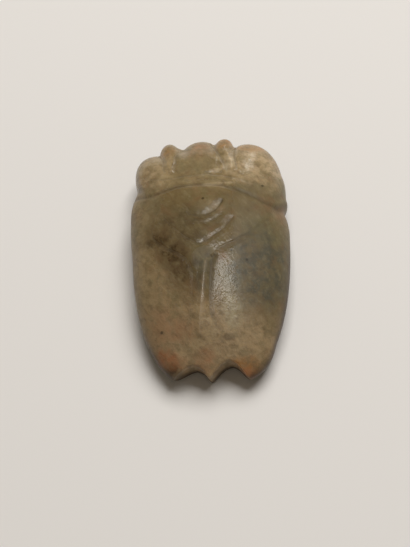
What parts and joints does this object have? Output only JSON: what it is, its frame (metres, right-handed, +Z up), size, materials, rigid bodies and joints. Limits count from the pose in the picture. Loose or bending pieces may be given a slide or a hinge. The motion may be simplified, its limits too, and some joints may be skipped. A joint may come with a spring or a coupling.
{
  "type": "jade cicada pendant",
  "caption": "Carved jade cicada pendant with bulging eyes, antennae, collar, arced thorax, folded wings and a notched tail, lying flat.",
  "frame": {"origin": "middle of the flat underside, under the middle of the outline", "axes": "+Y from the tail to the head, +X to the right seen from above with the head up, +Z up out of the back"},
  "size_m": [0.032, 0.0506, 0.0127],
  "materials": {
    "jade": "waxy polish, worn, with brown and grey-green staining"
  },
  "bodies": {
    "root": {"cicada": "jade"}
  },
  "joints": []
}
